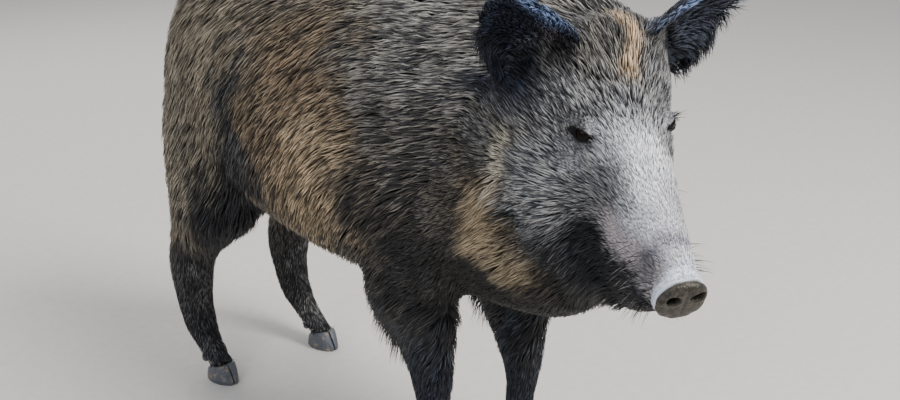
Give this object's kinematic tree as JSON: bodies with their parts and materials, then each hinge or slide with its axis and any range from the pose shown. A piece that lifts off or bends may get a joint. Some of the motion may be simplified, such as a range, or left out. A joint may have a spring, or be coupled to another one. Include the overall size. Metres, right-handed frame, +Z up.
{
  "type": "wild boar, still model",
  "caption": "Adult wild boar in winter coat, a still life-size display model standing on all its hooves with the head raised and turned a little to its right",
  "frame": {"origin": "on the floor, under the middle of the outer box", "axes": "+Z up; the animal faces -Y, so its right side is at -X and its left at +X"},
  "size_m": [0.3684, 1.2902, 0.8593],
  "materials": {
    "coat": "long coarse bristles in small locks, charcoal with tan and cream tips",
    "dark_coat": "shorter blue-black bristles of the legs, ears and jaw",
    "snout_skin": "bare moist skin of the disc, olive grey-brown",
    "eye": "wet dark brown",
    "hoof": "dull bluish-grey horn"
  },
  "bodies": {
    "root": {"trunk": "coat", "neck": "coat", "head": "coat", "lower_jaw": "dark_coat", "ear_left": "dark_coat", "ear_right": "dark_coat", "tail": "dark_coat", "leg_front_left": "dark_coat", "leg_front_right": "dark_coat", "leg_hind_left": "dark_coat", "leg_hind_right": "dark_coat", "snout": "snout_skin", "eye_left": "eye", "eye_right": "eye", "hoof_front_left_a": "hoof", "hoof_front_left_b": "hoof", "hoof_front_right_a": "hoof", "hoof_front_right_b": "hoof", "hoof_hind_left_a": "hoof", "hoof_hind_left_b": "hoof", "hoof_hind_right_a": "hoof", "hoof_hind_right_b": "hoof", "dewclaw_front_left_a": "hoof", "dewclaw_front_left_b": "hoof", "dewclaw_front_right_a": "hoof", "dewclaw_front_right_b": "hoof", "dewclaw_hind_left_a": "hoof", "dewclaw_hind_left_b": "hoof", "dewclaw_hind_right_a": "hoof", "dewclaw_hind_right_b": "hoof"}
  },
  "joints": []
}
